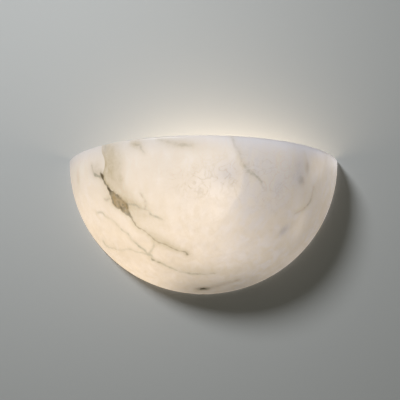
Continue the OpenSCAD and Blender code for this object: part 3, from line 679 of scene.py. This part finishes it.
def nearest_on(run: np.ndarray, points: np.ndarray) -> tuple[np.ndarray, np.ndarray]:
    """How near some points are to a run.

    Args:
        run: Rows of x, y, z.
        points: Rows of x, y, z.

    Returns:
        Each point's distance, and the place along the run, counted in its rows.
    """
    best = np.full(len(points), np.inf)
    place = np.zeros(len(points))
    for i, (a, b) in enumerate(zip(run, run[1:])):
        along = b - a
        offset = points - a
        share = np.clip(offset @ along / max(along @ along, TINY), 0.0, 1.0)
        far = np.linalg.norm(offset - share[:, None] * along, axis=1)
        closer = far < best
        best[closer] = far[closer]
        place[closer] = (i + share)[closer]
    return best, place


@dataclass
class Markings:
    """Reads the marks at points of the stone."""

    camera: PhotoCamera
    centre: np.ndarray
    radius: float
    far: float = 40.0
    jitter: float = 0.28

    def _run(self, pixels: Sequence[Sequence[float]], jitter: float = 0.0) -> np.ndarray:
        """A course as a smooth run on the sphere, with its other columns kept.

        Args:
            pixels: Rows of column, row and what else changes along the course.
            jitter: How far in pixels the run wanders to both sides.

        Returns:
            Rows of x, y, z and the other columns.
        """
        rows = smooth_course(np.array(pixels, float))
        if jitter:
            along = np.gradient(rows[:, :2], axis=0)
            along /= np.maximum(np.linalg.norm(along, axis=1, keepdims=True), TINY)
            place = rows[:, 0] + rows[:, 1] * 0.8
            aside = np.sin(place) * 0.5 + np.sin(place * 0.43 + 1.0)
            rows[:, 0] -= along[:, 1] * aside * jitter
            rows[:, 1] += along[:, 0] * aside * jitter
            rows[:, 2] += np.minimum(rows[:, 2] * 0.45, 0.3) * np.sin(place * 0.8 + 2.0)
        on_stone = self.camera.onto_sphere(rows[:, :2], self.centre, self.radius)
        return np.hstack((on_stone, rows[:, 2:]))

    def courses(self, points: np.ndarray, kind: str,
                courses: Sequence[Course]) -> dict[str, np.ndarray]:
        """Reads marks of one kind at some points.

        Args:
            points: Rows of x, y, z on the sphere.
            kind: The start of the attributes' names.
            courses: The marks.

        Returns:
            Three attributes: the distance to the nearest mark's side in millimetres, below
            zero inside it, that mark's strength, and its half width in millimetres.
        """
        side = np.full(len(points), self.far)
        strength, half = np.zeros((2, len(points)))
        pixel = np.linalg.norm(np.array(self.camera.place) - self.centre) / self.camera.focal_px
        for course in courses:
            run = self._run(course.points, self.jitter)
            far, place = nearest_on(run[:, :3], points)
            width = np.interp(place, np.arange(len(run)), run[:, 3]) * pixel
            this = (far - width) / MM
            nearer = this < side
            side[nearer] = this[nearer]
            strength[nearer] = course.strength
            half[nearer] = width[nearer] / MM
        return {f"{kind}_side": side, f"{kind}_strength": strength, f"{kind}_width": half}

    def edge(self, points: np.ndarray, pixels: Sequence[tuple[float, float]]) -> np.ndarray:
        """Each point's distance to an edge in millimetres, above zero on its right side."""
        run = self._run(pixels)
        far, place = nearest_on(run, points)
        seen, course = self.camera.seen_at(points), self.camera.seen_at(run)
        at = np.minimum(place.astype(int), len(run) - 2)
        along = course[at + 1] - course[at]
        across = seen - course[at]
        right = along[:, 0] * across[:, 1] - along[:, 1] * across[:, 0]
        return np.clip(np.where(right < 0, far, -far) / MM, -self.far, self.far)

    def patches(self, points: np.ndarray) -> dict[str, np.ndarray]:
        """The soft stains at each point, as one attribute for each kind."""
        return {stain.value: np.clip(sum(self._patch(patch, points) for patch in patches), 0, 1)
                for stain, patches in PATCHES.items()}

    def _patch(self, patch: Patch, points: np.ndarray) -> np.ndarray:
        """One patch's strength at each point, which fades from its middle outwards."""
        right = self.camera.axes()[0]
        middle = self.camera.onto_sphere(np.array([patch.middle]), self.centre, self.radius)[0]
        out = (middle - self.centre) / self.radius
        across = right - (right @ out) * out
        across /= np.linalg.norm(across)
        turn = math.radians(patch.turn)
        long = math.cos(turn) * across + math.sin(turn) * np.cross(out, across)
        short = np.cross(out, long)
        offset = (points - middle) / MM
        reach = (offset @ long / patch.reach[0]) ** 2 + (offset @ short / patch.reach[1]) ** 2
        return patch.strength * np.exp(-reach) * np.exp(-((offset @ out) / self.far) ** 2)


# The stone bowl

@dataclass(frozen=True)
class Alabaster:
    """The stone's finish, which reads the marks that the mesh carries."""

    cream: Colour = (0.815, 0.715, 0.62)
    white: Colour = (0.83, 0.755, 0.69)
    grey: Colour = (0.56, 0.525, 0.518)
    tan: Colour = (0.5, 0.4, 0.25)
    vein: Colour = (0.325, 0.278, 0.192)
    crack: Colour = (0.165, 0.118, 0.062)
    rim_shade_grey: Colour = (0.65, 0.635, 0.665)
    lilac: Colour = (0.52, 0.48, 0.5)
    warm_glow: Colour = (1.0, 0.765, 0.51)
    plain_glow: Colour = (1.0, 0.875, 0.755)
    cloud_glow: Colour = (0.98, 0.905, 0.89)
    peach_glow: Colour = (1.0, 0.84, 0.68)
    lilac_glow: Colour = (0.95, 0.885, 0.92)
    rim_glow: Colour = (0.95, 0.92, 1.0)
    tan_glow: Colour = (1.0, 0.8, 0.46)
    crack_glow: Colour = (0.95, 0.77, 0.44)
    wedge_glow: Colour = (1.0, 0.69, 0.36)
    vein_glow: Colour = (0.85, 0.83, 0.6)
    wedge: Colour = (0.33, 0.235, 0.11)
    roughness: float = 0.42
    drift_size: float = 70 * MM
    mottle_size: float = 16 * MM
    blotch_size: float = 7 * MM
    fine_size: float = 3.2 * MM
    thread_size: float = 17 * MM
    streak_scale: Point = (90.0, 90.0, 34.0)
    relief: float = 0.1 * MM

    def material(self) -> bpy.types.Material:
        """The stone's material: its marks, its colour by day with painted shade along the rim, and
        the light through it.
        """
        g = Surface("alabaster")
        drift = g.noise(self.drift_size, twist=0.6)
        mottle = g.noise(self.mottle_size, 4.0, twist=0.9)
        blotch = g.noise(self.blotch_size, twist=1.2)
        fine = g.noise(self.fine_size, 4.0)
        wander = g.noise(6 * MM) * 1.9 + fine * 0.7
        streaks = g.noise(1.0, at=g.stretched(self.streak_scale), twist=0.8)
        patchy = (g.noise(15 * MM, 2.0) * 4.0 + 0.5).rise()
        (tan_patch, shade, brown_patch, grey_patch, lilac_patch, pale, thread_patch, tan_edge,
         rim, rim_top_shade, shaded) = (g.attribute(name) for name in (
             *(stain.value for stain in Stain), "tan_edge", "rim", "rim_top_shade", "shaded"))

        # Cracks and veins, with a halo round them; wide cracks have a lighter filling
        crack_edge, vein_edge = g.attribute("crack_side"), g.attribute("vein_side")
        wide = g.attribute("crack_width")
        crack = (crack_edge + wander * 0.5 + blotch) / (1.0 + wide * 0.16)
        crack = crack.rise(1.1, -0.8) * g.attribute("crack_strength") * (
            0.86 + patchy * 0.22 + fine * 0.6)
        filling = (wide + wander * 0.6).rise(2.4, 5.6) * (0.8 + blotch * 3.2 + fine * 1.6)
        vein = (vein_edge + wander * 0.7 + blotch * 1.4).rise(1.9, -1.1)
        vein = vein * g.attribute("vein_strength") * (0.42 + patchy * 0.72 + fine * 1.6)
        halo = ((crack_edge + wander * 2.0).rise(8.0, 0.0) * 0.26
                + (vein_edge + wander * 2.5).rise(6.5, 0.0) * 0.14) * (1.0 + blotch * 1.6)

        # Soft stains: the tan zone stops at its seam, and the grey cloud at its left side
        tan_side = (tan_edge + wander * 0.4).rise(-0.5, 0.6)
        seam = (tan_edge + wander * 0.8).rise(6.0, 0.2) * tan_side
        tan = (tan_patch * (0.22 + tan_side * 0.78) * (1.0 + mottle * 1.1 + blotch * 0.9)
               + seam * tan_patch * 0.4 + shade * (1.0 + mottle * 1.4 + blotch))
        cloud_side = (g.attribute("cloud_edge") + mottle * 7.0 + streaks * 5.0).rise(-3.5, 2.5)
        grey = grey_patch * (0.15 + cloud_side * 0.85) * (
            1.0 + mottle * 0.7 + streaks * 1.3 + blotch * 0.6)
        threads = (g.noise(self.thread_size, twist=1.4) * 24.0) ** 2.0
        threads = threads.rise(1.0, 0.0) * thread_patch * (0.6 + blotch * 1.8)
        brown = brown_patch * (1.0 + mottle * 1.2 + blotch * 0.8)
        lilac = lilac_patch * (1.0 + mottle * 1.4 + blotch * 0.8)

        # Painted shade in the body: a cooler grey band under the rim stands in for less of the
        # lamp's light coming through there.
        body = g.layers(self.cream, (
            ((drift + mottle * 1.1 + streaks * 0.9 + 0.45).rise(), self.white),
            (pale * 0.6, self.white), (grey * 0.9, self.grey), (lilac * 0.8, self.lilac),
            # Painted shade: the eased top edge is darkened.
            (threads * 0.48, self.tan), (rim * 0.8, self.rim_shade_grey), (rim_top_shade, self.grey),
            (tan * 0.85 + halo, self.tan), (brown * 0.9, self.vein), (vein, self.vein),
            (crack, g.mix(filling, self.crack, self.wedge))))

        cool_streak = (streaks * 2.6 + 0.5).rise()
        streaked = 0.2 + shaded * 0.25
        hue = g.layers(self.warm_glow, (
            (g.attribute("neutral"), self.plain_glow),
            (cool_streak * streaked, self.lilac_glow),
            ((1.0 - cool_streak) * streaked, self.peach_glow), (grey * 0.5, self.cloud_glow),
            (pale * 0.5, self.peach_glow), (lilac * 0.8, self.lilac_glow), (rim, self.rim_glow),
            (tan * 0.5 + halo * 0.5, self.tan_glow), (vein * 0.8, self.vein_glow),
            (crack * 0.9, g.mix(filling, self.crack_glow, self.wedge_glow))))

        through = g.attribute("glow") * (1.0 + pale * 0.35) * (
            1.0 + mottle * 0.24 + blotch * 0.1 + streaks * 0.22)
        for held in (grey * 0.26, tan * 0.34 + halo * 0.3, lilac * 0.36,
                     rim * (1.0 - shaded) * 0.22, brown * 0.9, vein * 0.6,
                     crack * (0.9 - filling * 0.34), threads * 0.16, rim_top_shade * 0.8):
            through = through * (1.0 - held)

        g.put(Base_Color=body, Emission_Strength=1.0, Specular_IOR_Level=0.4,
              Emission_Color=g.mix(through.larger(0.0), (0.0, 0.0, 0.0), hue),
              Roughness=fine * 0.12 + (crack + tan * 0.3) * 0.2 + self.roughness)
        g.bump(fine + 0.5 - crack * 1.2 - vein * 0.3, self.relief)
        return g.material


def shell_faces(rows: int, columns: int) -> tuple[list[tuple[int, ...]], int]:
    """Faces of the closed skin.

    Args:
        rows: The number of rows, from the lowest outer one over the rim to the inner one.
        columns: The number of points in a row.

    Returns:
        The faces, and how many of them belong to the curved skin.
    """
    at = np.arange(rows * columns).reshape(rows, columns).tolist()
    faces = [(at[r][c], at[r][c + 1], at[r + 1][c + 1], at[r + 1][c])
             for r in range(rows - 1) for c in range(columns - 1)]
    curved = len(faces)
    last = rows - 1
    for r in range(rows // 2 - 1):
        faces.append((at[r][0], at[r + 1][0], at[last - r - 1][0], at[last - r][0]))
        faces.append((at[last - r][-1], at[last - r - 1][-1], at[r + 1][-1], at[r][-1]))
    faces += [(at[last][c], at[last][c + 1], at[0][c + 1], at[0][c])
              for c in range(columns - 1)]
    return faces, curved


@dataclass
class StoneBowl:
    """The bowl: an outer and an inner ball skin, a flat eased rim and a flat back edge."""

    camera: PhotoCamera
    wall: float = 8 * MM
    ease: float = 2.5 * MM
    back_ease: float = 0.8 * MM
    back_steps: tuple[float, ...] = (0.0, 0.12, 0.4, 1.0)
    rows: int = 190
    columns: int = 400
    ease_rows: int = 6
    end_gap: float = 0.002
    inner_glow: float = 0.15

    def __post_init__(self) -> None:
        """Works out the two balls from the frame's box."""
        low, self.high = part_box("alabaster_bowl")
        half = (self.high.x - low.x) / 2
        deep = self.high.y - low.y
        self.outer = (half * half + deep * deep) / (2 * deep)
        self.inner = self.outer - self.wall
        self.set_back = self.outer - deep
        self.centre = np.array((0.0, self.high.y + self.set_back, self.high.z))

    def _depths(self, radius: float) -> np.ndarray:
        """Depths of the rows under the rim, from the rim's edge down to the lowest point."""
        eased = self.ease * (1 - np.cos(np.linspace(0, math.pi / 2, self.ease_rows + 1)))
        lowest = math.acos(self.set_back / radius)
        first = math.asin(self.ease / radius)
        angles = np.linspace(first, lowest, self.rows + 1)[1:]
        angles[-1] = lowest - self.end_gap
        return np.concatenate((eased, radius * np.sin(angles)))

    def _row(self, flat: float, depth: float, sign: float) -> np.ndarray:
        """One row of points at a distance from the axis and a depth below the rim.

        Args:
            flat: The row's distance from the ball's upright axis.
            depth: Its depth below the rim's plane.
            sign: -1 for the outer skin, whose back edge is eased inwards, and 1 for the inner.

        Returns:
            Rows of x, y, z from the left end to the right.
        """
        room = flat - self.set_back
        steps = np.array(self.back_steps) * min(self.back_ease, room / 3)
        ends = np.arccos(np.clip((self.set_back + steps) / flat, -1, 1))
        middle = np.linspace(-ends[-1], ends[-1], self.columns - 2 * len(steps) + 2)
        turns = np.concatenate((-ends, middle[1:-1], ends[::-1]))
        points = np.stack((flat * np.sin(turns), -flat * np.cos(turns),
                           np.full(len(turns), -depth)), 1)
        shift = sign * rounding(max(float(steps[-1]), TINY), -points[:, 1] - self.set_back)
        out = points[:, [0, 2]]
        out = out / np.maximum(np.linalg.norm(out, axis=1, keepdims=True), TINY)
        points[:, [0, 2]] += out * shift[:, None]
        return points + self.centre

    def _skin(self, radius: float, sign: float) -> list[np.ndarray]:
        """The rows of one skin, from the rim down."""
        return [self._row(math.sqrt(radius ** 2 - depth ** 2) + sign * rounding(self.ease, depth),
                          depth, sign) for depth in self._depths(radius)]

    def _light(self, points: np.ndarray) -> dict[str, np.ndarray]:
        """How much of the lamp's light comes through the stone at points of the outer skin.

        The stone is lit least at the rim, and most low down on the side that the globe looks
        at. The lampholder shades the other side. The thin back edge catches a little more.

        Args:
            points: Rows of x, y, z.

        Returns:
            Three attributes: the light, how far a point is shaded by the holder, and how far
            it is from the warmest end.
        """
        depth = (self.high.z - points[:, 2]) / MM
        back = (self.high.y - points[:, 1]) / MM
        right = points[:, 0] / MM
        at_rim = 0.055 + 0.225 * step(right, -60, 85) + 0.045 * step(right, 35, 30)
        low_down = 0.74 - 0.27 * step(right, 4, 110)
        glow = at_rim + (low_down - at_rim) * step(depth, -18, 148)
        glow *= 1.0 - 0.7 * step(depth, 133, 68) * step(right, -100, 92)
        glow += 0.075 * step(-right, 120, 45) + 0.05 * step(right, 35, 60)
        glow += 0.08 * step(depth, 115, 40) * step(-right, 15, 60)
        glow += 0.085 * step(right, 140, 25) * step(-depth, -26, 20)
        glow -= 0.155 * np.clip((right * 0.6 + depth * 0.8 - 110) / 54, 0, 1)
        neutral = step(right, -125, 220) * (1.0 - 0.32 * step(depth, 20, 60))
        return {"glow": glow + 0.12 * np.exp(-(back / 2.5) ** 2),
                "shaded": step(right, -10, 95), "neutral": neutral}

    def _marks(self, points: np.ndarray) -> dict[str, np.ndarray]:
        """The numbers that the mesh carries for the finish, at each of its points."""
        out = points - self.centre
        distance = np.linalg.norm(out, axis=1, keepdims=True)
        on_skin = self.centre + out / distance * self.outer
        marks = Markings(self.camera, self.centre, self.outer)
        values = marks.courses(on_skin, "crack", CRACKS) | marks.courses(on_skin, "vein", VEINS)
        values |= marks.patches(on_skin) | self._light(on_skin)
        values["tan_edge"] = marks.edge(on_skin, TAN_EDGE)
        values["cloud_edge"] = marks.edge(on_skin, CLOUD_EDGE)
        depth = (self.high.z - points[:, 2]) / MM
        # Painted shade: a cool band under the rim, stronger on the side that the holder shades and
        # weaker at the right end.
        values["rim"] = (np.exp(-(depth / 13.0) ** 2) * (0.55 + 0.45 * values["shaded"])
                         * (1.0 - 0.5 * step(points[:, 0] / MM, 140.0, 25.0)))
        # Painted shade on the eased top edge: darker in colour and letting less light through,
        # against the light that falls on it from above.
        values["rim_top_shade"] = np.exp(-(depth / 2.0) ** 2)
        is_outer = distance[:, 0] > self.outer - self.wall / 2
        values["glow"] *= np.where(is_outer, 1.0, self.inner_glow)
        return values

    def build(self) -> None:
        """Makes the bowl in place of its plain solid."""
        rows = self._skin(self.outer, -1.0)[::-1] + self._skin(self.inner, 1.0)
        points = np.vstack(rows)
        faces, curved = shell_faces(len(rows), len(rows[0]))
        mesh = bpy.data.meshes.new("stone_bowl")
        mesh.from_pydata(points.tolist(), [], faces)
        mesh.polygons.foreach_set("use_smooth", np.arange(len(faces)) < curved)
        bowl = add_object("stone_bowl", mesh)
        for name, value in self._marks(points).items():
            mesh.attributes.new(name, "FLOAT", "POINT").data.foreach_set(
                "value", value.astype(np.float32))
        mesh.materials.append(Alabaster().material())
        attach(bowl, "bowl")
        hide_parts("alabaster_bowl")
        LOG.info("stone_bowl: %d points, %d faces, marks: %s", len(points), len(faces),
                 ", ".join(mark.name for mark in (*CRACKS, *VEINS, *sum(PATCHES.values(), ()))))


# Fittings

@dataclass
class Fittings:
    """CAD pieces that keep their shape and get their finish."""

    title: str
    nodes: tuple[str, ...]

    def build(self) -> None:
        """Dresses every node with the finish of its slot."""
        for name in self.nodes:
            piece = frame["nodes"][name]
            slot = SLOT_OF[name]
            piece.data.materials.clear()
            piece.data.materials.append(FINISH_OF[slot].material())
            LOG.info("%s: %s in %s", self.title, name, slot)


FITTINGS = (
    Fittings("hanging", (
        "hanger_left", "hanger_right", "resin_bed_left", "resin_bed_right", "wall_pads",
        "knurled_nut_left", "knurled_nut_right", "hanging_studs")),
    Fittings("mounting", (
        "wall_bar", "pan_screws", "pan_washers", "cap_nuts", "mounting_pan")),
    Fittings("lampholder", (
        "lampholder_bracket", "bracket_rivets", "holder_nipple", "nipple_washer", "nipple_nut",
        "lampholder_cover", "lampholder_barrel", "contact_base", "holder_terminals",
        "centre_contact", "screw_liner")),
    Fittings("wiring", (
        "sleeve_grommet", "heat_sleeve", "line_wire", "neutral_wire", "earth_wire",
        "terminal_block", "terminal_tubes", "terminal_screws", "block_screw", "earth_stud",
        "earth_tag", "earth_washer", "earth_nut")),
    Fittings("lamp", (
        "lamp_contact", "lamp_insulator", "lamp_cap", "lamp_housing", "lamp_globe")),
)


# Wall, floor and light

def add_lamp(name: str, kind: str, place: Point, at: Point | None = None,
             **settings: object) -> bpy.types.Object:
    """Adds a lamp.

    Args:
        name: The lamp's name.
        kind: Its kind.
        place: Where it stands.
        at: The point that it faces, if it faces one.
        settings: Its power in watts, its colour and its form.

    Returns:
        The lamp.
    """
    data = bpy.data.lights.new(name, kind)
    for key, value in settings.items():
        setattr(data, key, value)
    lamp = add_object(name, data)
    lamp.location = place
    if at:
        way = Vector(at) - lamp.location
        lamp.rotation_euler = way.to_track_quat("-Z", "Y").to_euler()
    return lamp


@dataclass
class Studio:
    """A plain wall and floor, one large soft lamp at the upper left, and the lit globe's light."""

    wall_colour: Colour = (0.515, 0.527, 0.527)
    floor_colour: Colour = (0.62, 0.62, 0.62)
    wall_size: float = 4.0
    floor_drop: float = -0.5
    ambient: Colour = (0.101, 0.101, 0.085)
    backdrop: Colour = (0.78, 0.79, 0.8)
    wall_gap: float = 0.3 * MM
    key_place: Point = (-0.497, -0.78, 0.6532)
    key_aim: Point = (3.0, 0.0, -3.0)
    key_size: float = 0.26
    key_power: float = 12.5
    key_colour: Colour = (0.97, 0.985, 1.0)
    globe: Point = GLOBE_PLACE
    globe_radius: float = 0.028
    globe_colour: Colour = (1.0, 0.8, 0.58)
    globe_power: float = 0.15
    wash_place: Point = (0.028, -0.052, 0.024)
    wash_power: float = 0.25
    wash_size: tuple[float, float] = (0.225, 0.02)
    wash_height: float = 0.034
    rear_place: Point = (0.5, 0.9, 0.5)
    rear_power: float = 6.0
    rear_size: float = 0.8

    def _plane(self, name: str, front: tuple[float, float], back: tuple[float, float],
               colour: Colour) -> bpy.types.Object:
        """A sheet that shows from its front alone and lets light through from behind.

        Args:
            name: Its name.
            front: The depth and height of its first edge.
            back: Those of its second edge.
            colour: Its colour.

        Returns:
            The sheet.
        """
        half = self.wall_size / 2
        mesh = bpy.data.meshes.new(name)
        mesh.from_pydata([(-half, *front), (half, *front), (half, *back), (-half, *back)], [],
                         [(0, 1, 2, 3)])
        g = Surface(name)
        g.put(Base_Color=colour, Roughness=0.9, Specular_IOR_Level=0.1)
        shows = g.seen() * (1.0 - g.node("ShaderNodeNewGeometry", output="Backfacing"))
        clear = g.node("ShaderNodeBsdfTransparent")
        both = g.node("ShaderNodeMixShader", {}, {
            0: shows, 1: clear, 2: Field(g, g.shader.outputs[0])})
        g.fill(g.output.inputs["Surface"], both)
        mesh.materials.append(g.material)
        sheet = add_object(name, mesh)
        return sheet

    def _world(self) -> None:
        """Soft light from all round, seen as a pale backdrop."""
        world = bpy.data.worlds.new("studio")
        bpy.context.scene.world = world
        world.use_nodes = True
        graph = Graph(world.node_tree)
        graph.fill(graph.tree.nodes["Background"].inputs["Color"],
                   graph.mix(graph.seen(), self.ambient, self.backdrop))

    def build(self) -> None:
        """Sets up the stage and its lights."""
        foot = (self.wall_gap, self.floor_drop)
        wall = self._plane("wall", foot, (self.wall_gap, self.wall_size / 2), self.wall_colour)
        self._plane("floor", (-self.wall_size, self.floor_drop), foot, self.floor_colour)
        self._world()
        add_lamp("key", "AREA", self.key_place, self.key_aim, energy=self.key_power,
                 color=self.key_colour, shape="DISK", size=self.key_size)
        inside = add_lamp("globe_light", "POINT", self.globe, energy=self.globe_power,
                          color=self.globe_colour, shadow_soft_size=self.globe_radius)
        long, short = self.wash_size
        wash = add_lamp("bowl_light", "AREA", self.wash_place,
                        (self.wash_place[0], 0.0, self.wash_height), energy=self.wash_power,
                        color=self.globe_colour, shape="ELLIPSE", size=long, size_y=short)
        wash.visible_camera = False
        wash.visible_glossy = False
        lit = bpy.data.collections.new("lit_by_bowl_light")
        lit.objects.link(wall)
        wash.light_linking.receiver_collection = lit
        for lamp in (inside, wash):
            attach(lamp, "lamp")
        frame["nodes"]["lamp_globe"].visible_shadow = False
        add_lamp("rear", "AREA", self.rear_place, (0, 0, 0), energy=self.rear_power,
                 color=self.key_colour, size=self.rear_size)
        LOG.info("studio: wall, floor and lamps")


def main() -> None:
    """Builds the light and its stage."""
    logging.basicConfig(level=logging.INFO, format="%(message)s")
    bpy.context.scene.view_settings.view_transform = "Standard"
    camera = PhotoCamera()
    camera.make()
    for part in (StoneBowl(camera), *FITTINGS, Studio()):
        part.build()


if __name__ == "__main__":
    main()
